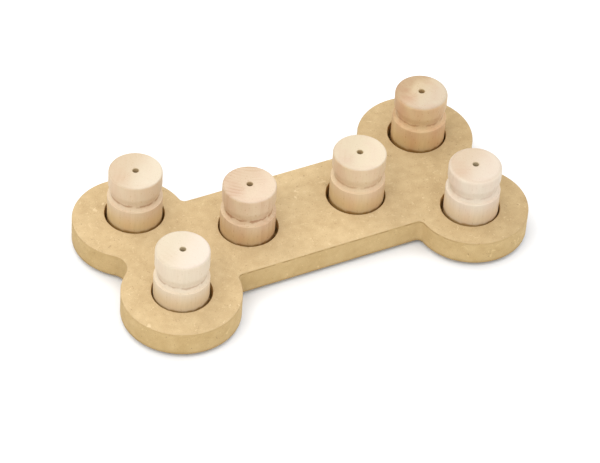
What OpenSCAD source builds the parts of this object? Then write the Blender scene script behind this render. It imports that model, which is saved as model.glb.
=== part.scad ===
// Puzzle feeder for a dog: a bone-shaped board of fibreboard with six blind
// wells, and six loose turned wooden pegs. A treat lies in a well, under the
// hollow of its peg, and the dog lifts the peg to reach it.
// +X runs along the bone, +Y to its back, +Z up, and the origin is on the floor
// under the middle of the bone. All sizes are in millimetres.

/* [Pegs] */
// Diameter of a peg below its waist
peg_d = 37; // [32:0.5:44]
// Diameter of a peg's head, above its waist
head_d = 36; // [32:0.5:44]
// Height of a peg from its foot to its top
peg_len = 50; // [44:1:80]
// Bevel around the foot of a peg
peg_foot_bevel = 0.8; // [0.3:0.1:2]
// Diameter of the scent hole down the middle of a peg
scent_d = 4; // [2:0.5:8]
// Diameter of the treat hollow in the foot of a peg
hollow_d = 26; // [18:0.5:28]
// Depth of the treat hollow in the foot of a peg
hollow_depth = 14; // [8:0.5:18]

/* [Waist groove] */
// Distance from the top of a peg down to where its waist starts to draw in
waist_top = 10; // [6:0.5:12]
// Height over which the waist draws in, from its start to its narrowest ring
waist_taper = 8; // [4:0.5:10]
// Height from the narrowest ring down to the lower lip of the waist
waist_lip = 3; // [1:0.2:4]
// How far the waist's narrowest ring lies inside the head
waist_depth = 1.8; // [0.5:0.1:2.5]

/* [Turning of each peg by hand] */
// Radius of the top edge of the back left peg
round_back_left = 1.4; // [0.4:0.1:4]
// Radius of the top edge of the front left peg
round_front_left = 2; // [0.4:0.1:4]
// Radius of the top edge of the middle left peg
round_mid_left = 1.6; // [0.4:0.1:4]
// Radius of the top edge of the middle right peg
round_mid_right = 1.5; // [0.4:0.1:4]
// Radius of the top edge of the back right peg
round_back_right = 2.8; // [0.4:0.1:4]
// Radius of the top edge of the front right peg
round_front_right = 3.2; // [0.4:0.1:4]
// How much lower the waist of the back left peg was turned
drop_back_left = 0.5; // [-1:0.1:3]
// How much lower the waist of the front left peg was turned
drop_front_left = 2.2; // [-1:0.1:3]
// How much lower the waist of the middle left peg was turned
drop_mid_left = 1.2; // [-1:0.1:3]
// How much lower the waist of the middle right peg was turned
drop_mid_right = 0.4; // [-1:0.1:3]
// How much lower the waist of the back right peg was turned
drop_back_right = 0; // [-1:0.1:3]
// How much lower the waist of the front right peg was turned
drop_front_right = -0.4; // [-1:0.1:3]

/* [Wells] */
// Room between a peg and the wall of its well, all round
peg_room = 1.5; // [1.5:0.1:3]
// Depth of a well below the top of the board
well_depth = 12; // [8:0.5:14]
// Bevel around the mouth of a well
well_bevel = 0.5; // [0.2:0.1:1.5]
// Distance of the four end wells from the middle, along the bone
end_well_x = 106; // [96:1:140]
// Distance of the four end wells from the middle, across the bone
end_well_y = 39.5; // [38:0.5:44]
// Distance of the two middle wells from the middle, along the bone
mid_well_x = 40; // [30:1:48]
// How far the whole pattern of wells lies off the middle of the bone
wells_shift = [0.8, 0.9]; // [0:0.1:2]
// How far the back left well was bored off its even place
drift_back_left = [1.2, 1.2]; // [-1.5:0.1:1.5]
// How far the front left well was bored off its even place
drift_front_left = [0, 0.5]; // [-1.5:0.1:1.5]
// How far the back right well was bored off its even place
drift_back_right = [0.6, -0.6]; // [-1.5:0.1:1.5]
// How far the front right well was bored off its even place
drift_front_right = [0.3, -0.7]; // [-1.5:0.1:1.5]

/* [Board] */
// Thickness of the board
board_t = 18; // [16:0.5:30]
// Wood outside the well in the back left and front right lobes
long_lobe_rim = 18.3; // [12:0.1:26]
// Wood outside the well in the front left and back right lobes
short_lobe_rim = 19.9; // [12:0.1:26]
// How far the back left and front right lobes reach out past their wells
long_lobe_out = 3; // [-4:0.1:8]
// How far the front left and back right lobes reach out past their wells
short_lobe_out = -0.4; // [-4:0.1:8]
// How far the lobes lie further in than their wells, across the bone
lobe_in = 0.9; // [-2:0.1:3]
// Wood outside the wells at each side of the bar
bar_rim = 19; // [8:0.5:22]
// Radius of the corners where the bar meets the lobes
bar_fillet = 4; // [1:0.5:12]
// Radius of the notch between the two lobes of an end
notch_fillet = 12; // [4:0.5:30]

/* [Feet] */
// Diameter of an anti-slip foot
foot_d = 22; // [12:1:40]
// Thickness of an anti-slip foot
foot_t = 3; // [1:0.5:5]
// Bevel around the lower edge of an anti-slip foot
foot_bevel = 0.5; // [0.2:0.1:0.9]

/* [Resting places of the pegs] */
// Where the loose back left peg stands in its well, off the middle
rest_back_left = [0.2, 0.1]; // [-0.9:0.1:0.9]
// Where the loose front left peg stands in its well, off the middle
rest_front_left = [-0.6, -0.2]; // [-0.9:0.1:0.9]
// Where the loose middle left peg stands in its well, off the middle
rest_mid_left = [-0.6, 0]; // [-0.9:0.1:0.9]
// Where the loose middle right peg stands in its well, off the middle
rest_mid_right = [0.7, 0.1]; // [-0.9:0.1:0.9]
// Where the loose back right peg stands in its well, off the middle
rest_back_right = [0.8, 0.2]; // [-0.9:0.1:0.9]
// Where the loose front right peg stands in its well, off the middle
rest_front_right = [0.5, -0.2]; // [-0.9:0.1:0.9]

/* [Hidden] */
$fn = 96;

// A cut runs this far past the surface that it opens
past = 1;

// Longest step in the arcs of the bone's outline, in degrees
arc_step = 4;

// Levels above the floor
board_z = foot_t;
board_top_z = board_z + board_t;
well_floor_z = board_top_z - well_depth;

// Places of the wells, from the middle of the bone
well_back_left = wells_shift + [-end_well_x, end_well_y] + drift_back_left;
well_front_left = wells_shift + [-end_well_x, -end_well_y] + drift_front_left;
well_mid_left = wells_shift + [-mid_well_x, 0];
well_mid_right = wells_shift + [mid_well_x, 0];
well_back_right = wells_shift + [end_well_x, end_well_y] + drift_back_right;
well_front_right = wells_shift + [end_well_x, -end_well_y] + drift_front_right;
wells = [
    well_back_left, well_front_left, well_mid_left,
    well_mid_right, well_back_right, well_front_right
];
well_r = peg_d / 2 + peg_room;

// The outline is the same after half a turn, so the left end gives both ends
long_lobe_r = well_r + long_lobe_rim;
short_lobe_r = well_r + short_lobe_rim;
long_lobe = [-end_well_x - long_lobe_out, end_well_y - lobe_in];
short_lobe = [-end_well_x - short_lobe_out, lobe_in - end_well_y];
bar_half = well_r + bar_rim;

// Middle of a fillet between a lobe and the straight side of the bar beyond it
function bar_fillet_centre(lobe, lobe_r, side) =
    let (y = side * (bar_half + bar_fillet))
    [lobe[0] + sqrt(pow(lobe_r + bar_fillet, 2) - pow(y - lobe[1], 2)), y];

// Middle of the notch's fillet, which touches both lobes of the left end
function notch_centre() =
    let (
        across = long_lobe - short_lobe,
        gap = norm(across),
        a = short_lobe_r + notch_fillet,
        b = long_lobe_r + notch_fillet,
        along = (gap * gap + a * a - b * b) / (2 * gap),
        out = sqrt(a * a - along * along),
        u = across / gap
    )
    short_lobe + along * u + out * [-u[1], u[0]];

// Direction in degrees from one point to another
function heading(from, to) = atan2(to[1] - from[1], to[0] - from[0]);

// Points of an arc from its first angle up to, but without, its last
function arc(centre, r, first, last) =
    let (steps = ceil(abs(last - first) / arc_step))
    [for (i = [0:steps - 1])
        let (turn = first + (last - first) * i / steps)
        centre + r * [cos(turn), sin(turn)]];

// The left end of the outline, from the bar's back side round to its front side:
// a fillet, the long lobe, the notch, the short lobe and a fillet
function bone_end() =
    let (
        back = bar_fillet_centre(long_lobe, long_lobe_r, 1),
        front = bar_fillet_centre(short_lobe, short_lobe_r, -1),
        notch = notch_centre(),
        to_back = heading(long_lobe, back),
        long_to_notch = heading(long_lobe, notch),
        short_to_notch = heading(short_lobe, notch),
        to_front = heading(short_lobe, front)
    )
    concat(
        arc(back, bar_fillet, -90, to_back - 180),
        arc(long_lobe, long_lobe_r, to_back, long_to_notch + 360),
        arc(notch, notch_fillet, long_to_notch + 180, short_to_notch - 180),
        arc(short_lobe, short_lobe_r, short_to_notch, to_front + 360),
        arc(front, bar_fillet, to_front + 180, 90),
        [front + [0, bar_fillet]]
    );

// Outline of the bone
module bone_outline() {
    polygon(concat(bone_end(), [for (point = bone_end()) -point]));
}

// The space of one well, with the bevel around its mouth
module well_space() {
    mouth_r = well_r + well_bevel;
    rotate_extrude()
        polygon([
            [0, well_floor_z],
            [well_r, well_floor_z],
            [well_r, board_top_z - well_bevel],
            [mouth_r, board_top_z],
            [mouth_r, board_top_z + past],
            [0, board_top_z + past]
        ]);
}

module board() {
    color("#dcbf8c")
    difference() {
        translate([0, 0, board_z]) linear_extrude(board_t) bone_outline();
        for (place = wells) translate(place) well_space();
    }
}

// Steps in the two curves of a waist, and in the round of a top edge
waist_steps = 8;
lip_steps = 4;
round_steps = 6;

// Outer profile of a peg from its foot up: the body, a crisp lip, the waist eased
// out again to the head, and the rounded top edge
function peg_profile(top_round, waist_drop) =
    let (
        body_r = peg_d / 2,
        head_r = head_d / 2,
        waist_r = head_r - waist_depth,
        ring_z = peg_len - waist_top - waist_drop - waist_taper,
        lip_z = ring_z - waist_lip
    )
    concat(
        [[body_r - peg_foot_bevel, 0], [body_r, peg_foot_bevel]],
        [for (i = [0:lip_steps])
            let (turn = 90 * i / lip_steps)
            [body_r - (body_r - waist_r) * sin(turn), lip_z + waist_lip * (1 - cos(turn))]],
        [for (i = [1:waist_steps])
            let (rise = i / waist_steps)
            [head_r - waist_depth * (1 + cos(180 * rise)) / 2, ring_z + waist_taper * rise]],
        [for (i = [0:round_steps])
            let (turn = 90 * i / round_steps)
            [head_r - top_round * (1 - cos(turn)), peg_len - top_round * (1 - sin(turn))]]
    );

// One peg, on its foot in the well at the given place
module peg(place, top_round, waist_drop) {
    translate([place[0], place[1], well_floor_z])
    difference() {
        rotate_extrude()
            polygon(concat([[0, 0]], peg_profile(top_round, waist_drop), [[0, peg_len]]));
        translate([0, 0, -past]) cylinder(h = peg_len + 2 * past, d = scent_d);
        translate([0, 0, -past]) cylinder(h = hollow_depth + past, d = hollow_d);
    }
}

module peg_back_left() {
    color("#e8d0ac")
    peg(well_back_left + rest_back_left, round_back_left, drop_back_left);
}

module peg_front_left() {
    color("#f3e2c8")
    peg(well_front_left + rest_front_left, round_front_left, drop_front_left);
}

module peg_mid_left() {
    color("#e4c7a0")
    peg(well_mid_left + rest_mid_left, round_mid_left, drop_mid_left);
}

module peg_mid_right() {
    color("#ecd2ad")
    peg(well_mid_right + rest_mid_right, round_mid_right, drop_mid_right);
}

module peg_back_right() {
    color("#d3b388")
    peg(well_back_right + rest_back_right, round_back_right, drop_back_right);
}

module peg_front_right() {
    color("#e9d3bc")
    peg(well_front_right + rest_front_right, round_front_right, drop_front_right);
}

// One anti-slip foot, stuck to the underside of the board
module foot(place) {
    r = foot_d / 2;
    color("#3b3a38")
    translate(place)
    rotate_extrude()
        polygon([[0, 0], [r - foot_bevel, 0], [r, foot_bevel], [r, foot_t], [0, foot_t]]);
}

module foot_back_left() {
    foot(long_lobe);
}

module foot_front_left() {
    foot(short_lobe);
}

module foot_back_right() {
    foot(-short_lobe);
}

module foot_front_right() {
    foot(-long_lobe);
}

board();
peg_back_left();
peg_front_left();
peg_mid_left();
peg_mid_right();
peg_back_right();
peg_front_right();
foot_back_left();
foot_front_left();
foot_back_right();
foot_front_right();
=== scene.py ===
"""A dog's treat puzzle on white paper: a bone of fibreboard with six turned pegs.

Lengths in the classes are millimetres, and everything that is sent to Blender is
metres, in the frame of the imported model.
"""

import logging
import math
from dataclasses import dataclass
from enum import Enum
from functools import cached_property, partial
from typing import Any, Mapping, Sequence

import bpy
from mathutils import Matrix, Vector


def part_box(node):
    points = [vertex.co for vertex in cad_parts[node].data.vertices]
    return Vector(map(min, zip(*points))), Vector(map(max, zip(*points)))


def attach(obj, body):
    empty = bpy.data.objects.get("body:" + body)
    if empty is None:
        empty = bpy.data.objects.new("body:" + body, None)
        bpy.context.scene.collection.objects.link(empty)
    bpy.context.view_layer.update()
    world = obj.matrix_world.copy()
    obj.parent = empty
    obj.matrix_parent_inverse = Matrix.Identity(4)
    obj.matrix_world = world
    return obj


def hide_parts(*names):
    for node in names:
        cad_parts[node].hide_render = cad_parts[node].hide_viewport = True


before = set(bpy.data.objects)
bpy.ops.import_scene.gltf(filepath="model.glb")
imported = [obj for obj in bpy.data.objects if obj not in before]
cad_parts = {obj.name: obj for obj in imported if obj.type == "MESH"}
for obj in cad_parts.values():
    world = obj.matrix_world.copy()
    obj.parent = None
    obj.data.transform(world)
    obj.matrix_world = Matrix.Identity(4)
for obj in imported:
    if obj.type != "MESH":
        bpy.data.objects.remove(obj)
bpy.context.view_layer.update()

log = logging.getLogger("puzzle")

MM = 0.001
PER_METRE = 1000.0
MERGE = 0.005 * MM

Piece = bpy.types.Object
Socket = bpy.types.NodeSocket
Section = list[tuple[float, float]]


# ---------------------------------------------------------------------------
# Colour, nodes and layers
# ---------------------------------------------------------------------------


def linear(colour: str) -> tuple[float, float, float, float]:
    """Turn an sRGB hex colour to linear.

    Args:
        colour: Six hex digits after a hash, such as "#e0c493".

    Returns:
        Linear red, green and blue, and an alpha of 1.
    """
    parts = [int(colour[i:i + 2], 16) / 255 for i in (1, 3, 5)]
    straight = [p / 12.92 if p <= 0.04045 else ((p + 0.055) / 1.055) ** 2.4 for p in parts]
    return (*straight, 1.0)


def add_node(
    tree: bpy.types.NodeTree,
    kind: str,
    inputs: Mapping[Any, Any] | None = None,
    out: int | str = 0,
    stops: Sequence[tuple[float, str]] = (),
    **settings: Any,
) -> Socket | None:
    """Add a node with its settings, its values and the links into it.

    Args:
        tree: The node tree of the material or the world.
        kind: Blender's name for the node, without its "ShaderNode".
        inputs: A value or another node's output for each input, by name or number.
        out: Name or number of the output that is wanted.
        stops: Places and hex colours of a colour ramp.
        settings: Properties of the node itself.

    Returns:
        That output, or None for a node that ends a tree.
    """
    node = tree.nodes.new("ShaderNode" + kind)
    for name, value in settings.items():
        setattr(node, name, value)
    for key, value in (inputs or {}).items():
        if isinstance(value, Socket):
            tree.links.new(value, node.inputs[key])
        else:
            node.inputs[key].default_value = value
    for i, (place, colour) in enumerate(stops):
        elements = node.color_ramp.elements
        stop = elements[i] if i < len(elements) else elements.new(place)
        stop.position = place
        stop.color = linear(colour)
    return node.outputs[out] if len(node.outputs) else None


def level_direction(bearing: float) -> Vector:
    """Give the level direction that lies a number of degrees from +X."""
    turn = math.radians(bearing)
    return Vector((math.cos(turn), math.sin(turn), 0.0))


@dataclass(frozen=True)
class Mask:
    """How plainly a layer shows while a value passes between two levels.

    Attributes:
        value: The value.
        low: Its first level.
        high: Its second level.
        at_low: How plainly the layer shows at the first level and before it.
        at_high: How plainly it shows at the second level and beyond it.
        soft: Whether the passage eases in and out.
    """

    value: Socket
    low: float
    high: float
    at_low: float | Socket = 0.0
    at_high: float = 1.0
    soft: bool = False


@dataclass
class Surface:
    """One material, whose colour is laid on in layers over patterns of a real size.

    Attributes:
        name: Name of the material.
        middle: Point from which its patterns are measured, in metres.
    """

    name: str
    middle: Sequence[float] = (0.0, 0.0, 0.0)

    APART = 40.0

    def __post_init__(self) -> None:
        """Make the material, empty as yet, and the function that adds its nodes."""
        self.material = bpy.data.materials.new(self.name)
        self.material.use_nodes = True
        self.material.node_tree.nodes.clear()
        self.add = partial(add_node, self.material.node_tree)
        self.colour: Any = None

    @cached_property
    def mm(self) -> Socket:
        """Measure the piece in millimetres from the patterns' middle.

        Returns:
            Object coordinates, moved and scaled.
        """
        place = self.add("TexCoord", out="Object")
        away = tuple(-part * PER_METRE for part in self.middle)
        return self.add(
            "Mapping", {"Vector": place, "Scale": (PER_METRE,) * 3, "Location": away}
        )

    @cached_property
    def parts(self) -> Sequence[Socket]:
        """Give the X, Y and Z of the coordinates in millimetres."""
        x = self.add("SeparateXYZ", {0: self.mm})
        return x.node.outputs

    def towards(self, bearing: float) -> Socket:
        """Measure how far a point lies from the middle towards a bearing in degrees."""
        return self.add(
            "VectorMath", {0: self.mm, 1: level_direction(bearing)},
            out="Value", operation="DOT_PRODUCT",
        )

    def off_level(self, value: Socket, level: float) -> Socket:
        """Measure how far a value lies from a level, above or below it."""
        off = self.add("Math", {0: value, 1: level}, operation="SUBTRACT")
        return self.add("Math", {0: off}, operation="ABSOLUTE")

    def patches(
        self, across: float, along: float = 0.0, turn: float = 0.0, out: int = 0, **more: float
    ) -> Socket:
        """Add a noise whose patches have a real size.

        Args:
            across: Width of a patch, in millimetres.
            along: Length of a patch along Z, or 0 where it is as long as wide.
            turn: Turn about Z in radians, which also moves the noise off its like.
            out: 0 for the noise's value and 1 for its colour.
            more: The noise's Detail and Distortion.

        Returns:
            That output.
        """
        drawn = self.add("Mapping", {
            "Vector": self.mm, "Scale": (1 / across, 1 / across, 1 / (along or across)),
            "Rotation": (0.0, 0.0, turn), "Location": (self.APART * turn / across, 0.0, 0.0),
        })
        return self.add("TexNoise", {"Vector": drawn, "Scale": 1.0, **more}, out=out)

    def masked(self, *masks: Mask | Socket) -> Socket:
        """Multiply masks, and values from 0 to 1, by each other.

        Args:
            masks: The masks and values.

        Returns:
            Their product.
        """
        product = None
        for mask in masks:
            if isinstance(mask, Mask):
                mask = self.add(
                    "MapRange",
                    {"Value": mask.value, "From Min": mask.low, "From Max": mask.high,
                     "To Min": mask.at_low, "To Max": mask.at_high},
                    interpolation_type="SMOOTHSTEP" if mask.soft else "LINEAR",
                )
            product = mask if product is None else self.add(
                "Math", {0: product, 1: mask}, operation="MULTIPLY"
            )
        return product

    def lay(self, colour: str | Socket, *masks: Mask | Socket, covers: bool = False) -> None:
        """Lay a colour over the colours so far.

        Args:
            colour: A hex colour, or one that varies over the surface.
            masks: How plainly it shows, and all over where there are none.
            covers: Whether it hides what lies under it, where a stain darkens it.
        """
        self.colour = self.add(
            "Mix",
            {0: self.masked(*masks) if masks else 1.0, 6: self.colour,
             7: linear(colour) if isinstance(colour, str) else colour},
            out=2, data_type="RGBA", blend_type="MIX" if covers else "MULTIPLY",
        )

    def finish(
        self, shader: Mapping[str, float], relief: Socket | None = None,
        depth: float = 0.0, strength: float = 0.5,
    ) -> bpy.types.Material:
        """Close the material.

        Args:
            shader: Values of the shader's own sockets.
            relief: Height of the surface's fine relief, from 0 to 1.
            depth: Depth of that relief, in millimetres.
            strength: How strongly it bends the light.

        Returns:
            The finished material.
        """
        inputs = {"Base Color": self.colour, **shader}
        if relief is not None:
            inputs["Normal"] = self.add(
                "Bump", {"Height": relief, "Strength": strength, "Distance": depth * MM}
            )
        self.add("OutputMaterial", {"Surface": self.add("BsdfPrincipled", inputs)})
        return self.material


# ---------------------------------------------------------------------------
# Finishes
# ---------------------------------------------------------------------------


class BoardFace(Enum):
    """The four ways in which the fibreboard's surface was made."""

    SANDED = "sanded face"
    EASED = "eased edge"
    ROUTED = "routed edge"
    BORED = "bored well"


@dataclass(frozen=True)
class Fibreboard:
    """Medium density fibreboard: pressed wood fibre, raw and without a lacquer.

    The eye sees a matt straw-coloured felt, clouded in patches a few centimetres
    wide and flecked with single fibres, specks of bark and pale smears. A cut edge
    is yellower and darker than a sanded face, because it shows the loose core.

    Attributes:
        face: How this surface was made.
        pale: Colour of the paler clouds.
        deep: Colour of the deeper clouds.
        fibre_pale: Colour of the pale fibres and smears.
        fibre_dark: Colour of the dark fibres.
        fleck_share: Noise level above which a fibre shows, so lower shows more.
        nap: Height of the fuzz that the cut leaves.
        scorch: How dark the line is that the router's collar rubbed, from 0 to 1.
        foot_shade: How strongly the edge is darkened at its foot, as painted shade where it meets
            the floor, from 0 to 1.
        drift: Colour multiplied in more and more towards the board's +X end, or "" for none.
    """

    face: BoardFace
    pale: str
    deep: str
    fibre_pale: str
    fibre_dark: str
    fleck_share: float = 0.64
    nap: float = 0.05
    scorch: float = 0.0
    foot_shade: float = 0.0
    drift: str = ""

    SHADER = {"Roughness": 0.82, "IOR": 1.45, "Specular IOR Level": 0.3}
    CLOUD = 26.0
    MOTTLE = 6.5
    GRIT = 0.55
    TONE_DEEP = 0.34
    TONE_PALE = 0.66
    FIBRE = 1.5
    BARK = "#7c6440"
    BARK_SIZE = 2.8
    BARK_SHARE = 0.735
    SMEAR_SIZE = 5.0
    SMEAR_SHARE = 0.68
    FLECK_EDGE = 0.08
    FLECK_THREAD = 1.6
    # Levels of a noise, and what it does to the colour there.
    GRIT_SHADE = (0.3, 0.7, 0.94, 1.06)
    NAP_STRENGTH = 0.6
    SCORCH_HEIGHT = 20.0
    SCORCH_WIDTH = (0.25, 0.8)
    SCORCH_GAPS = (0.4, 0.55)
    FOOT_SHADE_FULL = 3.0
    FOOT_SHADE_TOP = 6.0
    COLLAR_REACH = (62.0, 92.0)
    COLLAR_LEFT = 0.3
    DRIFT_START = 40.0
    DRIFT_END = 130.0

    def material(self) -> bpy.types.Material:
        """Build the material.

        Returns:
            The material, with its pattern on Object coordinates in millimetres.
        """
        surface = Surface("fibreboard, " + self.face.value)
        clouds = surface.patches(self.CLOUD, Detail=3.0)
        mottle = surface.patches(self.MOTTLE, Detail=3.0)
        grit = surface.patches(self.GRIT, Detail=2.0)
        tone = surface.add("Mix", {0: 0.5, 2: clouds, 3: mottle})
        surface.colour = surface.add(
            "ValToRGB", {"Fac": tone},
            stops=((self.TONE_DEEP, self.deep), (self.TONE_PALE, self.pale)),
        )
        # The turn of each fleck's noise, its colour, size, level and strength.
        for turn, colour, size, level, most in (
            (0.0, self.fibre_pale, self.FIBRE, self.fleck_share, 0.5),
            (1.1, self.fibre_dark, self.FIBRE, self.fleck_share + 0.01, 0.55),
            (2.0, self.BARK, self.BARK_SIZE, self.BARK_SHARE, 0.8),
            (2.6, self.fibre_pale, self.SMEAR_SIZE, self.SMEAR_SHARE, 0.7),
        ):
            fibres = surface.patches(size, turn=turn, Detail=1.0, Distortion=self.FLECK_THREAD)
            surface.lay(
                colour, Mask(fibres, level, level + self.FLECK_EDGE, 0.0, most), covers=True
            )
        if self.scorch:
            self._scorch(surface, mottle)
        # Painted shade: the cut edge grows darker towards its foot, where the floor's contact
        # shadow falls.
        if self.foot_shade:
            foot = Mask(surface.parts[2], self.FOOT_SHADE_FULL, self.FOOT_SHADE_TOP, self.foot_shade, 0.0, soft=True)
            surface.lay(self.fibre_dark, foot, covers=True)
        # Darker towards the board's +X end.
        if self.drift:
            surface.lay(self.drift, Mask(surface.parts[0], self.DRIFT_START, self.DRIFT_END))
        surface.lay(surface.masked(Mask(grit, *self.GRIT_SHADE)))
        relief = surface.add("Math", {0: grit, 1: mottle}, operation="ADD")
        return surface.finish(self.SHADER, relief, self.nap, self.NAP_STRENGTH)

    def _scorch(self, surface: Surface, mottle: Socket) -> None:
        """Darken a thin line round the edge, plain on the bar and faint on the lobes.

        Args:
            surface: The board's surface.
            mottle: Noise that breaks the line.
        """
        distance = surface.off_level(surface.parts[2], self.SCORCH_HEIGHT)
        along = surface.add("Math", {0: surface.parts[0]}, operation="ABSOLUTE")
        surface.lay(
            self.fibre_dark,
            Mask(distance, *self.SCORCH_WIDTH, self.scorch, 0.0),
            Mask(mottle, *self.SCORCH_GAPS),
            Mask(along, *self.COLLAR_REACH, 1.0, self.COLLAR_LEFT),
            covers=True,
        )


@dataclass(frozen=True)
class TurnedBeech:
    """Beech dowel, turned on a lathe, sanded and left raw.

    The eye sees growth rings as shallow arcs on the sawn top and as upright bands
    down the side, fine upright fibre, short darker ray flecks, and a darker line in
    the waist where the tool stopped and rubbed.

    Attributes:
        name: Name of the peg's wood.
        side: Colour of the wood on the turned side.
        end_deep: Colour of the sawn top on its deeper side.
        end_sheen: Colour of the painted sheen on the sawn top's paler side.
        ring_step: Distance between growth rings.
        pith_bearing: Side on which the heart of the tree lay, in degrees from +X.
        pith_away: Distance of the heart of the tree from the axis.
        blush: Stain of the softly bounded warmer patches.
        blush_amount: How much of the blush shows, from 0 to 1.
        shade: Colour multiplied into the body near the board, as painted shade.
        rub: How dark the line in the waist is, from 0 to 1.
        rub_wander: How far that line strays from the waist's ring.
        ring: Stain of the narrow band that grew in summer.
        ring_show: How plainly the growth rings show, from 0 to 1.
        sheen_bearing: Side of the sawn top that carries the painted sheen, in degrees from +X.
        end_reach: How far up a surface looks where end grain starts and where it is full.
        heart_amount: How much the heartwood down one side shows, from 0 to 1.
        heart_bearing: Side on which the heartwood lies, in degrees from +X.
        heart_edge: Distance of the heartwood's edge from the axis.
    """

    name: str
    side: str
    end_deep: str
    end_sheen: str
    ring_step: float
    pith_bearing: float
    pith_away: float
    blush: str
    blush_amount: float
    shade: str
    rub: float
    rub_wander: float = 2.0
    ring: str = "#ebdfcf"
    ring_show: float = 0.16
    sheen_bearing: float = -50.0
    end_reach: tuple[float, float] = (0.3, 0.8)
    heart_amount: float = 0.0
    heart_bearing: float = 0.0
    heart_edge: float = 0.0

    SHADER = {"Roughness": 0.6, "IOR": 1.47, "Specular IOR Level": 0.4}
    # At this scale the bands of Blender's wave texture lie 1 mm apart.
    WAVE_UNIT = 2 * math.pi / 20
    WARP = 2.4
    # Widths across the grain and lengths along it.
    WARP_PATCH = (14.0, 60.0)
    FIBRE = (0.7, 12.0)
    FLECK = (0.9, 2.6)
    BLUSH_PATCH = (16.0, 32.0)
    RING_PATCH = (12.0, 36.0)
    RUB_PATCH = 4.5455
    DUST_AND_SHADE_PATCH = 3.5
    # Levels of a noise or wave between which something comes to show.
    RING_BAND = (0.35, 0.95)
    RING_GAPS = (0.38, 0.6)
    BLUSH_EDGE = (0.4, 0.65)
    FLECK_EDGE = (0.67, 0.74)
    RUB_GAPS = (0.36, 0.5)
    FIBRE_SHADE = (0.3, 0.7, 0.965, 1.03)
    RINGS_LEAST = 0.15
    RINGS_ON_SIDE = 0.55
    RINGS_UNDER_SHEEN = 0.2
    FLECK_SHOW = 0.7
    SHEEN_FADE = (-9.0, 12.0)
    HEART = "#caad93"
    HEART_RAGGED = 22.0
    HEART_FADE = (-2.5, 3.5)
    SHADE_FADE = (15.0, 30.0)
    # Dust, and painted shade in the gap between peg and well.
    DUST_AND_GAP_SHADE = "#cfbb92"
    DUST_AND_SHADE_UNEVEN = 3.0
    DUST_AND_SHADE_FADE = (12.2, 14.2)
    DUST_AND_SHADE_DOWN = (5.0, 11.5)
    DUST_AND_SHADE_LEAST = 0.15
    GRIME = "#8a5a34"
    RUB_LIFT = 0.4
    RUB_WIDTH = (0.2, 1.2)
    HOLE_DARKENING = "#e2ddcc"
    HOLE_DARKENING_FADE = (2.2, 2.6)
    LATHE_PITCH = 0.9
    LATHE_WAVER = 0.6
    LATHE_SHARE = 0.35
    RELIEF = 0.06

    def material(self, foot: Vector, ring_height: float) -> bpy.types.Material:
        """Build the material for one peg.

        Args:
            foot: Middle of the peg's foot, in metres.
            ring_height: Height of the waist's narrowest ring.

        Returns:
            The material, with its pattern centred on the peg, in millimetres.
        """
        surface = Surface("turned beech, " + self.name, foot)
        self._grain(surface, ring_height)
        self._blush_and_heart(surface)
        self._shade_and_dust(surface)
        fibre = surface.patches(*self.FIBRE, Detail=3.0)
        fleck = surface.patches(*self.FLECK, Detail=1.0)
        surface.lay(self.ring, Mask(fleck, *self.FLECK_EDGE, 0.0, self.FLECK_SHOW))
        surface.lay(surface.masked(Mask(fibre, *self.FIBRE_SHADE)))
        self._rub_and_bore(surface, ring_height)
        lathe = surface.add(
            "TexWave",
            {"Vector": surface.mm, "Scale": self.WAVE_UNIT / self.LATHE_PITCH,
             "Distortion": self.LATHE_WAVER},
            out=1, wave_type="BANDS", bands_direction="Z",
        )
        relief = surface.add(
            "Math", {0: lathe, 1: self.LATHE_SHARE, 2: fibre}, operation="MULTIPLY_ADD"
        )
        return surface.finish(self.SHADER, relief, self.RELIEF)

    def _grain(self, surface: Surface, ring_height: float) -> None:
        """Lay the side, the sawn top with a painted sheen on one side, and the growth rings round
        a heart beside the peg.

        Args:
            surface: The peg's surface.
            ring_height: Height of the waist's narrowest ring.
        """
        normal = surface.add("NewGeometry", out="Normal")
        up = surface.add("SeparateXYZ", {0: normal}, out=2)
        above = surface.add(
            "Math", {0: surface.parts[2], 1: ring_height}, operation="GREATER_THAN"
        )
        top = surface.masked(Mask(up, *self.end_reach), above)
        # Painted sheen: the top is paler towards one bearing, as a highlight.
        reach = Mask(surface.towards(self.sheen_bearing), *self.SHEEN_FADE, soft=True)
        pale = surface.masked(top, reach)
        surface.colour = linear(self.side)
        surface.lay(self.end_deep, top, covers=True)
        surface.lay(self.end_sheen, pale, covers=True)
        wander = surface.patches(*self.WARP_PATCH, out=1, Detail=2.0)
        moved = surface.add(
            "VectorMath", {0: wander, 1: (self.WARP, self.WARP, 0.0), 2: surface.mm},
            operation="MULTIPLY_ADD",
        )
        heart = level_direction(self.pith_bearing) * self.pith_away
        centred = surface.add("VectorMath", {0: moved, 1: heart}, operation="SUBTRACT")
        rings = surface.add(
            "TexWave", {"Vector": centred, "Scale": self.WAVE_UNIT / self.ring_step},
            out=1, wave_type="RINGS", rings_direction="Z", wave_profile="SAW",
        )
        surface.lay(
            self.ring,
            Mask(rings, *self.RING_BAND, 0.0, self.ring_show, soft=True),
            Mask(surface.patches(*self.RING_PATCH, Detail=1.0), *self.RING_GAPS, self.RINGS_LEAST),
            Mask(top, 0.0, 1.0, self.RINGS_ON_SIDE),
            Mask(pale, 0.0, 1.0, 1.0, self.RINGS_UNDER_SHEEN),
        )

    def _blush_and_heart(self, surface: Surface) -> None:
        """Lay the warmer patches, and the heartwood where the peg has some.

        Args:
            surface: The peg's surface.
        """
        patches = surface.patches(*self.BLUSH_PATCH, Detail=2.0)
        surface.lay(self.blush, Mask(patches, *self.BLUSH_EDGE, 0.0, self.blush_amount))
        if self.heart_amount:
            ragged = surface.add(
                "Math",
                {0: patches, 1: self.HEART_RAGGED, 2: surface.towards(self.heart_bearing)},
                operation="MULTIPLY_ADD",
            )
            edge = [self.heart_edge + self.HEART_RAGGED / 2 + off for off in self.HEART_FADE]
            surface.lay(self.HEART, Mask(ragged, *edge, 0.0, self.heart_amount))

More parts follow.
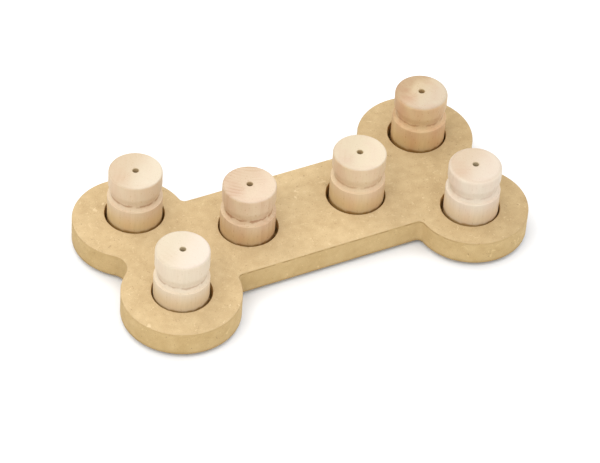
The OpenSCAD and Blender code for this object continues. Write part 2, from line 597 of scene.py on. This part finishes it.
    def _shade_and_dust(self, surface: Surface) -> None:
        """Paint shade on the body near the board, and lay dust unevenly where it rubs in the well,
        which also paints the shade in the well's gap.

        Args:
            surface: The peg's surface.
        """
        height = surface.parts[2]
        patches = surface.patches(self.DUST_AND_SHADE_PATCH, Detail=2.0)
        uneven = surface.add(
            "Math", {0: patches, 1: self.DUST_AND_SHADE_UNEVEN, 2: height}, operation="MULTIPLY_ADD"
        )
        fading_down = surface.masked(Mask(uneven, *self.DUST_AND_SHADE_DOWN, self.DUST_AND_SHADE_LEAST))
        # Painted shade: the body darkens towards the board.
        surface.lay(self.shade, Mask(height, *self.SHADE_FADE, 1.0, 0.0, soft=True))
        # Dust and painted gap shade, strongest at the well's rim and fading towards the foot.
        surface.lay(self.DUST_AND_GAP_SHADE, Mask(uneven, *self.DUST_AND_SHADE_FADE, fading_down, 0.0, soft=True))

    def _rub_and_bore(self, surface: Surface, ring_height: float) -> None:
        """Darken the ring where the tool stopped, and the scent hole's wall and rim.

        Args:
            surface: The peg's surface.
            ring_height: Height of the waist's narrowest ring.
        """
        broken = surface.patches(self.RUB_PATCH, Detail=2.0)
        wavering = surface.add(
            "Math", {0: broken, 1: self.rub_wander, 2: surface.parts[2]}, operation="MULTIPLY_ADD"
        )
        level = ring_height + self.RUB_LIFT + self.rub_wander / 2
        surface.lay(
            self.GRIME,
            Mask(surface.off_level(wavering, level), *self.RUB_WIDTH, self.rub, 0.0),
            Mask(broken, *self.RUB_GAPS),
            covers=True,
        )
        # The scent hole's wall and rim are darker.
        flat = surface.add("VectorMath", {0: surface.mm, 1: (1.0, 1.0, 0.0)}, operation="MULTIPLY")
        away = surface.add("VectorMath", {0: flat}, out="Value", operation="LENGTH")
        surface.lay(self.HOLE_DARKENING, Mask(away, *self.HOLE_DARKENING_FADE, 1.0, 0.0))


@dataclass(frozen=True)
class MouldedRubber:
    """Moulded thermoplastic rubber, charcoal.

    The eye sees a soft dull black with a fine spark-eroded stipple from the mould.
    """

    deep: str = "#2c2b2a"
    pale: str = "#3b3a38"
    stipple: float = 0.6
    stipple_depth: float = 0.05

    SHADER = {"Roughness": 0.7, "IOR": 1.52}
    TONE_DEEP = 0.3
    TONE_PALE = 0.7

    def material(self) -> bpy.types.Material:
        """Build the material.

        Returns:
            The material, with its stipple on Object coordinates in millimetres.
        """
        surface = Surface("moulded rubber, charcoal")
        grains = surface.patches(self.stipple, Detail=2.0)
        surface.colour = surface.add(
            "ValToRGB", {"Fac": grains},
            stops=((self.TONE_DEEP, self.deep), (self.TONE_PALE, self.pale)),
        )
        return surface.finish(self.SHADER, grains, self.stipple_depth)


@dataclass(frozen=True)
class BackgroundPaper:
    """Matt background paper, pale grey, which the studio light burns out to white."""

    colour: str = "#e8eaed"

    SHADER = {"Roughness": 0.9, "Specular IOR Level": 0.1}

    def material(self) -> bpy.types.Material:
        """Build the material.

        Returns:
            The material, which is the same all over.
        """
        surface = Surface("background paper, matt pale grey")
        surface.colour = linear(self.colour)
        return surface.finish(self.SHADER)


# ---------------------------------------------------------------------------
# Shaping
# ---------------------------------------------------------------------------


def select_alone(piece: Piece) -> None:
    """Select one piece and no other.

    Args:
        piece: The piece.
    """
    bpy.ops.object.select_all(action="DESELECT")
    piece.select_set(True)
    bpy.context.view_layer.objects.active = piece


def begin_edit(piece: Piece, kind: str = "VERT", chosen: Sequence[int] = ()) -> None:
    """Open one piece alone for editing, with only the chosen parts of it selected.

    Args:
        piece: The piece.
        kind: Whether "EDGE" or "FACE" parts are chosen, or "VERT" for none.
        chosen: Numbers of the chosen parts.
    """
    select_alone(piece)
    bpy.ops.object.mode_set(mode="EDIT")
    bpy.ops.mesh.select_mode(type="VERT")
    bpy.ops.mesh.select_all(action="DESELECT")
    if chosen:
        bpy.ops.object.mode_set(mode="OBJECT")
        parts = piece.data.edges if kind == "EDGE" else piece.data.polygons
        for i in chosen:
            parts[i].select = True
        bpy.ops.object.mode_set(mode="EDIT")
        bpy.ops.mesh.select_mode(type=kind)


def end_edit() -> None:
    """Close the piece that is open for editing."""
    bpy.ops.object.mode_set(mode="OBJECT")


def smooth(piece: Piece, sharp_above: float) -> None:
    """Shade a piece smooth, with its flats flat and its real corners crisp.

    Args:
        piece: The piece.
        sharp_above: Angle between faces above which an edge stays sharp, in degrees.
    """
    select_alone(piece)
    bpy.ops.object.shade_smooth_by_angle(angle=math.radians(sharp_above))
    weigh = piece.modifiers.new("flats", "WEIGHTED_NORMAL")
    weigh.keep_sharp = True
    bpy.ops.object.modifier_apply(modifier=weigh.name)


def rounded(
    corner: tuple[float, float], start: float, radius: float, steps: int, out: bool = True
) -> Section:
    """Give the points of a quarter round on a lathe section.

    Args:
        corner: Radius and height of the round's own middle.
        start: Direction of the first point from that middle, in degrees.
        radius: Radius of the round.
        steps: Number of steps in the quarter.
        out: Whether the round turns counter-clockwise.

    Returns:
        Points of radius and height.
    """
    sweep = 90 if out else -90
    turns = [math.radians(start + sweep * i / steps) for i in range(steps + 1)]
    return [(corner[0] + radius * math.cos(t), corner[1] + radius * math.sin(t)) for t in turns]


@dataclass
class Lathe:
    """Turns a section round an upright axis, in the place of a round node.

    Attributes:
        name: Name of the piece.
        node: The node, whose box gives the axis and the size.
        sides: Number of steps round the axis.
    """

    name: str
    node: str
    sides: int = 144

    SHARP_ABOVE = 33

    def __post_init__(self) -> None:
        """Take the foot of the axis, in metres, and the blank's radius and length."""
        low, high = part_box(self.node)
        self.foot = Vector(((low.x + high.x) / 2, (low.y + high.y) / 2, low.z))
        self.radius = (high.x - low.x) / 2 * PER_METRE
        self.length = (high.z - low.z) * PER_METRE

    def turn(self, section: Section, material: bpy.types.Material, closed: bool) -> Piece:
        """Extrude a ring from point to point of the section.

        Args:
            section: Points of radius and height, from the foot up.
            material: The piece's material.
            closed: Whether the last point joins the first, as on a bored piece.
                Otherwise both ends are flat discs.

        Returns:
            The piece, with its place in its mesh.
        """
        bpy.ops.object.select_all(action="DESELECT")
        radius, height = section[0]
        start = self.foot + Vector((0, 0, height * MM))
        bpy.ops.mesh.primitive_circle_add(
            vertices=self.sides, radius=radius * MM, fill_type="NOTHING", location=start
        )
        piece = bpy.context.object
        piece.name = self.name
        piece.data.name = self.name
        bpy.ops.object.transform_apply(location=True, rotation=True, scale=True)
        begin_edit(piece)
        bpy.ops.mesh.select_all(action="SELECT")
        if not closed:
            bpy.ops.mesh.edge_face_add()
        for next_radius, next_height in section[1:] + (section[:1] if closed else []):
            bpy.ops.mesh.extrude_region_move(
                TRANSFORM_OT_translate={"value": (0, 0, (next_height - height) * MM)}
            )
            grow = next_radius / radius
            bpy.ops.transform.resize(
                value=(grow, grow, 1),
                center_override=(self.foot.x, self.foot.y, self.foot.z + next_height * MM),
            )
            radius, height = next_radius, next_height
        bpy.ops.mesh.select_all(action="SELECT")
        bpy.ops.mesh.remove_doubles(threshold=MERGE)
        bpy.ops.mesh.normals_make_consistent(inside=False)
        end_edit()
        piece.data.materials.append(material)
        smooth(piece, self.SHARP_ABOVE)
        return piece


# ---------------------------------------------------------------------------
# The toy
# ---------------------------------------------------------------------------


@dataclass
class PuzzleBoard:
    """The bone-shaped board, with the marks of its router and its boring bit.

    Attributes:
        node: The board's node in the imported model.
        edge_ease: Width of the sanded round on the outer edges.
        ease_steps: Steps in that round.
        spur_width: Width of the dimple that the bit's spur leaves in a well.
        spur_depth: Depth of that dimple.
        spur_taper: Share of its radius that the dimple loses on its way down.
        rim_groove: Width of the groove that the bit's rim leaves in a well.
        rim_depth: Depth of that groove.
        groove_wall: How far the groove's walls lean.
    """

    node: str = "board"
    edge_ease: float = 0.6
    ease_steps: int = 3
    spur_width: float = 3.0
    spur_depth: float = 1.6
    spur_taper: float = 0.7
    rim_groove: float = 0.7
    rim_depth: float = 0.25
    groove_wall: float = 0.05

    SHARP_ABOVE = 34
    FLATS_WITHIN = 0.4
    AT_LEVEL = 0.01
    OFF_FACE = 0.3
    OFF_EDGE = 1.0
    WELL_REACH = 24.0
    # How far up a face looks: an upright side, a routed edge, a floor, a sanded face.
    SIDE_UP = 0.1
    ROUTED_UP = 0.4
    FLOOR_UP = 0.9
    SANDED_UP = 0.98

    FINISHES = (
        Fibreboard(
            BoardFace.SANDED, pale="#c0a982", deep="#b29a73",
            fibre_pale="#d0bc97", fibre_dark="#997d56", drift="#f2f0eb",
        ),
        # The eased round is the sanded face painted a little darker, as shade that damps its
        # highlight.
        Fibreboard(
            BoardFace.EASED, pale="#bda680", deep="#b09872",
            fibre_pale="#cbb993", fibre_dark="#957a54", fleck_share=0.67, drift="#f2f0eb",
        ),
        Fibreboard(
            BoardFace.ROUTED, pale="#bfa577", deep="#b29767",
            fibre_pale="#cdb485", fibre_dark="#947849", fleck_share=0.66, nap=0.09,
            scorch=0.9, foot_shade=0.75,
        ),
        Fibreboard(
            BoardFace.BORED, pale="#c9a468", deep="#b8935a",
            fibre_pale="#d6b47c", fibre_dark="#9c7a44", fleck_share=0.62, nap=0.14,
        ),
    )

    def make(self) -> Piece:
        """Build and dress the board.

        Returns:
            The finished piece.
        """
        piece = self._copy_of_node()
        low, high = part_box(self.node)
        self._ease_edges(piece, low.z, high.z)
        self._bore_marks(piece, low.z, high.z)
        smooth(piece, self.SHARP_ABOVE)
        self._dress(piece, low.z, high.z)
        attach(piece, "board")
        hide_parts(self.node)
        return piece

    def _copy_of_node(self) -> Piece:
        """Copy the node's mesh, merge its loose triangles and dissolve its flats.

        Returns:
            The copy, as a piece of its own.
        """
        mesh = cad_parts[self.node].data.copy()
        mesh.materials.clear()
        piece = bpy.data.objects.new("bone_board", mesh)
        bpy.context.scene.collection.objects.link(piece)
        begin_edit(piece)
        bpy.ops.mesh.select_all(action="SELECT")
        bpy.ops.mesh.remove_doubles(threshold=MERGE)
        bpy.ops.mesh.dissolve_limited(angle_limit=math.radians(self.FLATS_WITHIN))
        end_edit()
        return piece

    def _ease_edges(self, piece: Piece, bottom: float, top: float) -> None:
        """Round over the outline's upper and lower edges.

        Args:
            piece: The board.
            bottom: Height of its underside, in metres.
            top: Height of its upper face, in metres.
        """
        points = piece.data.vertices
        upright = {
            key for face in piece.data.polygons if abs(face.normal.z) < self.SIDE_UP
            for key in face.edge_keys
        }
        chosen = [
            edge.index for edge in piece.data.edges
            if edge.key in upright and any(
                all(abs(points[i].co.z - level) < self.AT_LEVEL * MM for i in edge.vertices)
                for level in (bottom, top)
            )
        ]
        begin_edit(piece, "EDGE", chosen)
        bpy.ops.mesh.bevel(
            offset=self.edge_ease * MM, offset_type="OFFSET", segments=self.ease_steps,
            profile=0.5, affect="EDGES", clamp_overlap=False,
        )
        end_edit()

    def _bore_marks(self, piece: Piece, bottom: float, top: float) -> None:
        """Cut the groove and the dimple that the boring bit leaves in each well's floor.

        Args:
            piece: The board.
            bottom: Height of its underside, in metres.
            top: Height of its upper face, in metres.
        """
        gap = self.OFF_EDGE * MM
        floors = [
            face for face in piece.data.polygons
            if face.normal.z > self.FLOOR_UP and bottom + gap < face.center.z < top - gap
        ]
        well_r = math.sqrt(floors[0].area / math.pi) * PER_METRE
        spur_r = self.spur_width / 2
        wall = self.groove_wall
        begin_edit(piece, "FACE", [face.index for face in floors])
        for inwards, upwards in (
            (wall, -self.rim_depth),
            (self.rim_groove, 0.0),
            (wall, self.rim_depth),
            (well_r - self.rim_groove - 2 * wall - spur_r, 0.0),
            (spur_r * self.spur_taper, -self.spur_depth),
        ):
            bpy.ops.mesh.inset(thickness=inwards * MM, depth=upwards * MM, use_individual=True)
        end_edit()

    def _dress(self, piece: Piece, bottom: float, top: float) -> None:
        """Give each face the finish of the way it was cut.

        Args:
            piece: The board.
            bottom: Height of its underside, in metres.
            top: Height of its upper face, in metres.
        """
        for finish in self.FINISHES:
            piece.data.materials.append(finish.material())
        order = [finish.face for finish in self.FINISHES]
        gap = self.OFF_FACE * MM
        wells = [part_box(name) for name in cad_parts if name.startswith("peg_")]
        centres = [((low + high) / 2).to_2d() for low, high in wells]
        for face in piece.data.polygons:
            away = min((face.center.to_2d() - centre).length for centre in centres)
            if away < self.WELL_REACH * MM:
                bored = bottom + gap < face.center.z < top - gap
                kind = BoardFace.BORED if bored else BoardFace.SANDED
            elif abs(face.normal.z) < self.ROUTED_UP:
                kind = BoardFace.ROUTED
            else:
                eased = abs(face.normal.z) < self.SANDED_UP
                kind = BoardFace.EASED if eased else BoardFace.SANDED
            face.material_index = order.index(kind)


@dataclass
class Peg:
    """A loose turned peg, with a waist to bite on and a hollow for a treat.

    Attributes:
        place: The end of the node's name, such as "back_left".
        wood: The finish of this peg.
        slot: The record's material slot; not used.
        top_round: Radius of the top edge.
        waist_drop: How much lower than the others its waist was turned.
        lip_round: Radius to which the lip below its waist was sanded.
    """

    place: str
    wood: TurnedBeech
    slot: str
    top_round: float
    waist_drop: float
    lip_round: float

    HEAD_UNDER = 0.5
    FOOT_BEVEL = 0.8
    SCENT_R = 2.0
    SCENT_BREAK = 0.3
    HOLLOW_R = 13.0
    HOLLOW_DEPTH = 14.0
    HOLLOW_FILLET = 1.2
    WAIST_TOP = 10.0
    WAIST_TAPER = 8.0
    WAIST_LIP = 3.0
    WAIST_DEPTH = 1.8
    TAPER_STEPS = 14
    LIP_STEPS = 8
    TOP_STEPS = 9
    ROUND_STEPS = 4

    def make(self) -> Piece:
        """Build and dress the peg.

        Returns:
            The finished piece.
        """
        node = "peg_" + self.place
        lathe = Lathe("turned_" + node, node)
        ring_z = lathe.length - self.WAIST_TOP - self.waist_drop - self.WAIST_TAPER
        section = self._section(lathe.radius, lathe.length, ring_z)
        piece = lathe.turn(section, self.wood.material(lathe.foot, ring_z), closed=True)
        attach(piece, node)
        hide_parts(node)
        return piece

    def _section(self, body_r: float, length: float, ring_z: float) -> Section:
        """Draw half of the peg's section, from its foot up and back down its bores.

        Args:
            body_r: Radius of the body below the waist.
            length: Height of the peg.
            ring_z: Height of the waist's narrowest ring.

        Returns:
            Points of radius and height.
        """
        head_r = body_r - self.HEAD_UNDER
        waist_r = head_r - self.WAIST_DEPTH
        lip_z = ring_z - self.WAIST_LIP
        shoulder_r = body_r - self.lip_round
        drop = shoulder_r - waist_r
        lip = [
            (shoulder_r - drop * math.sin(turn), lip_z + self.WAIST_LIP * (1 - math.cos(turn)))
            for turn in (math.pi / 2 * i / self.LIP_STEPS for i in range(1, self.LIP_STEPS + 1))
        ]
        taper = [
            (
                head_r - self.WAIST_DEPTH * (1 + math.cos(math.pi * rise)) / 2,
                ring_z + self.WAIST_TAPER * rise,
            )
            for rise in (i / self.TAPER_STEPS for i in range(1, self.TAPER_STEPS + 1))
        ]
        bevel, lip_round, top, fillet = (
            self.FOOT_BEVEL, self.lip_round, self.top_round, self.HOLLOW_FILLET
        )
        steps = self.ROUND_STEPS
        return [
            *rounded((body_r - bevel, bevel), -90, bevel, steps),
            *rounded((shoulder_r, lip_z - lip_round), 0, lip_round, steps),
            *lip,
            *taper,
            *rounded((head_r - top, length - top), 0, top, self.TOP_STEPS),
            (self.SCENT_R + self.SCENT_BREAK, length),
            (self.SCENT_R, length - self.SCENT_BREAK),
            (self.SCENT_R, self.HOLLOW_DEPTH),
            *rounded(
                (self.HOLLOW_R - fillet, self.HOLLOW_DEPTH - fillet), 90, fillet, steps, out=False
            ),
            (self.HOLLOW_R, self.SCENT_BREAK),
            (self.HOLLOW_R + self.SCENT_BREAK, 0.0),
        ]


@dataclass
class AntiSlipFoot:
    """A rubber disc stuck under a lobe, with a ring groove moulded in its tread.

    Attributes:
        place: The end of the node's name, such as "back_left".
        edge_round: Radius of its lower edge.
        groove_out: Outer radius of the groove, as a share of the disc's own.
        groove_width: Width of the groove.
        groove_depth: Depth of the groove.
    """

    place: str
    edge_round: float = 0.5
    groove_out: float = 0.7
    groove_width: float = 1.4
    groove_depth: float = 0.5

    SIDES = 72
    ROUND_STEPS = 4

    def make(self, rubber: bpy.types.Material) -> Piece:
        """Build and dress the foot.

        Args:
            rubber: The material of all four feet.

        Returns:
            The finished piece.
        """
        node = "foot_" + self.place
        lathe = Lathe("rubber_" + node, node, self.SIDES)
        outer = lathe.radius * self.groove_out
        inner = outer - self.groove_width
        depth, edge = self.groove_depth, self.edge_round
        section = [
            (inner, 0.0), (inner + depth / 2, depth), (outer - depth / 2, depth), (outer, 0.0),
            *rounded((lathe.radius - edge, edge), -90, edge, self.ROUND_STEPS),
            (lathe.radius, lathe.length),
        ]
        piece = lathe.turn(section, rubber, closed=False)
        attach(piece, "board")
        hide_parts(node)
        return piece


# ---------------------------------------------------------------------------
# The studio
# ---------------------------------------------------------------------------


@dataclass(frozen=True)
class Softbox:
    """A square soft light that faces the toy.

    Attributes:
        name: Its name.
        power: Its power, in watts.
        size: Its side, in metres.
        place: Where it hangs, in metres.
        colour: Colour of its light.
    """

    name: str
    power: float
    size: float
    place: tuple[float, float, float]
    colour: str = "#fffaf2"

    def hang(self) -> None:
        """Hang the light in the scene."""
        lamp = bpy.data.lights.new(self.name, "AREA")
        lamp.energy = self.power
        lamp.size = self.size
        lamp.color = linear(self.colour)[:3]
        box = bpy.data.objects.new(self.name, lamp)
        bpy.context.scene.collection.objects.link(box)
        box.location = self.place
        box.rotation_euler = (-Vector(self.place)).to_track_quat("-Z", "Y").to_euler()


@dataclass
class Studio:
    """White paper, even white light from all round and two soft lights on the left.

    Attributes:
        picture_width: Width of the picture, in pixels.
        focal_pixels: Focal length of the lens, in pixels of the picture.
        sensor: Width of the camera's sensor.
        camera_place: Where the camera stands.
        bearing: Direction in which it stands, from -Y towards +X, in degrees.
        height_angle: How steeply it looks down, in degrees.
        roll: How far it is rolled, in degrees.
        paper_size: Side of the paper, in metres.
        sky: Strength of the even white light from all round.
        sky_tilt: How much brighter that light is towards +X, +Y and the zenith.
        softboxes: The two soft lights.
    """

    picture_width: float = 600.0
    focal_pixels: float = 3180.3
    sensor: float = 36.0
    camera_place: tuple[float, float, float] = (-746.93, -1362.77, 1478.48)
    bearing: float = -28.722
    height_angle: float = 43.537
    roll: float = 4.157
    paper_size: float = 8.0
    sky: float = 0.45
    sky_tilt: tuple[float, float, float] = (0.3, -0.3, 1.28)
    softboxes: tuple[Softbox, ...] = (
        Softbox("softbox_back", power=2.6, size=0.6, place=(-0.25, 0.55, 0.8)),
        Softbox("softbox_left", power=3.0, size=0.6, place=(-0.65, -0.25, 0.7)),
    )

    def build(self) -> None:
        """Lay the paper, hang the lights and set up the camera."""
        self._paper()
        self._lights()
        self._camera()
        bpy.context.scene.view_settings.view_transform = "Standard"

    def _paper(self) -> None:
        """Lay the flat sheet of paper that the toy stands on."""
        bpy.ops.object.select_all(action="DESELECT")
        bpy.ops.mesh.primitive_plane_add(size=self.paper_size, location=(0, 0, 0))
        paper = bpy.context.object
        paper.name = "paper_floor"
        paper.data.materials.append(BackgroundPaper().material())

    def _lights(self) -> None:
        """Light the toy evenly, and a little more from the upper left."""
        world = bpy.data.worlds.new("white studio")
        bpy.context.scene.world = world
        world.use_nodes = True
        tree = world.node_tree
        tree.nodes.clear()
        direction = add_node(tree, "TexCoord", out="Generated")
        tilt = add_node(
            tree, "VectorMath", {0: direction, 1: self.sky_tilt},
            out="Value", operation="DOT_PRODUCT",
        )
        strength = add_node(tree, "Math", {0: tilt, 1: self.sky}, operation="ADD")
        sky = add_node(tree, "Background", {"Color": linear("#ffffff"), "Strength": strength})
        add_node(tree, "OutputWorld", {"Surface": sky})
        for softbox in self.softboxes:
            softbox.hang()

    def _camera(self) -> None:
        """Stand the camera where the photographer's stood."""
        turn, rise, roll = (
            math.radians(v) for v in (self.bearing, self.height_angle, self.roll)
        )
        back = Vector((
            math.sin(turn) * math.cos(rise), -math.cos(turn) * math.cos(rise), math.sin(rise)
        ))
        right = Vector((math.cos(turn), math.sin(turn), 0))
        up = back.cross(right)
        axis_x = right * math.cos(roll) + up * math.sin(roll)
        axis_y = up * math.cos(roll) - right * math.sin(roll)
        lens = bpy.data.cameras.new("camera")
        lens.sensor_fit = "HORIZONTAL"
        lens.sensor_width = self.sensor
        lens.lens = self.focal_pixels / self.picture_width * self.sensor
        camera = bpy.data.objects.new("camera", lens)
        bpy.context.scene.collection.objects.link(camera)
        facing = Matrix((axis_x, axis_y, back)).transposed().to_4x4()
        camera.matrix_world = Matrix.Translation(Vector(self.camera_place) * MM) @ facing
        bpy.context.scene.camera = camera


PEGS = (
    Peg(
        "back_left", slot="peg_wood_honey", top_round=1.4, waist_drop=0.5, lip_round=0.3,
        wood=TurnedBeech(
            "honey", side="#c9b599", end_deep="#b7a58c", end_sheen="#c3b7a3", sheen_bearing=-45,
            pith_bearing=150, pith_away=70, ring_step=3.4,
            blush="#f8e4de", blush_amount=0.35, shade="#fdf6dc", rub=0.6, rub_wander=3.0,
        ),
    ),
    Peg(
        "front_left", slot="peg_wood_cream", top_round=2.0, waist_drop=2.2, lip_round=0.5,
        wood=TurnedBeech(
            "cream", side="#d0c2ac", end_deep="#c1b5a0", end_sheen="#cabdaf", sheen_bearing=-45,
            ring="#f0e9dd", pith_bearing=200, pith_away=80, ring_step=3.6,
            blush="#faeeea", blush_amount=0.3, shade="#f9f0de", rub=0.42, rub_wander=4.0,
        ),
    ),
    Peg(
        "mid_left", slot="peg_wood_rose", top_round=1.6, waist_drop=1.2, lip_round=0.4,
        wood=TurnedBeech(
            "rose", side="#c6af90", end_deep="#baa58c", end_sheen="#c5b39d", sheen_bearing=-60,
            ring="#e0cbbb", ring_show=0.5, pith_bearing=61, pith_away=46, ring_step=2.9,
            blush="#f4e1e1", blush_amount=0.5, shade="#f7eed8", rub=0.7, rub_wander=6.0,
        ),
    ),
    Peg(
        "mid_right", slot="peg_wood_sand", top_round=1.5, waist_drop=0.4, lip_round=0.5,
        wood=TurnedBeech(
            "sand", side="#cbb594", end_deep="#bfb198", end_sheen="#c8baa3", sheen_bearing=-40,
            ring="#ece0d1", pith_bearing=330, pith_away=90, ring_step=4.0,
            blush="#f8e5ec", blush_amount=0.45, shade="#f9f3de", rub=0.4, rub_wander=3.0,
        ),
    ),
    Peg(
        "back_right", slot="peg_wood_tan", top_round=2.8, waist_drop=0.0, lip_round=1.2,
        wood=TurnedBeech(
            "tan", side="#c8ad85", end_deep="#b9a586", end_sheen="#baab95", sheen_bearing=-60,
            ring="#e2ceb5", pith_bearing=20, pith_away=60, ring_step=3.2,
            blush="#f1d5d2", blush_amount=0.6, shade="#fffef1", rub=0.5, rub_wander=5.0,
            heart_amount=0.42, heart_bearing=106, heart_edge=5,
        ),
    ),
    Peg(
        "front_right", slot="peg_wood_blush", top_round=3.2, waist_drop=-0.4, lip_round=0.8,
        wood=TurnedBeech(
            "blush", side="#d0c3b0", end_deep="#bcaa93", end_sheen="#c6b9a9",
            end_reach=(0.6, 0.95),
            ring="#ede1da", pith_bearing=240, pith_away=75, ring_step=3.4,
            blush="#fae9e6", blush_amount=0.45, shade="#fff7e6", rub=0.2,
        ),
    ),
)


def main() -> None:
    """Build the toy and its studio, and report each piece."""
    logging.basicConfig(level=logging.INFO, format="%(name)s: %(message)s")
    pieces = [PuzzleBoard().make()]
    pieces += [peg.make() for peg in PEGS]
    rubber = MouldedRubber().material()
    for place in ("back_left", "front_left", "back_right", "front_right"):
        pieces.append(AntiSlipFoot(place).make(rubber))
    for piece in pieces:
        log.info("%s has %d faces", piece.name, len(piece.data.polygons))
    Studio().build()


if __name__ == "__main__":
    main()
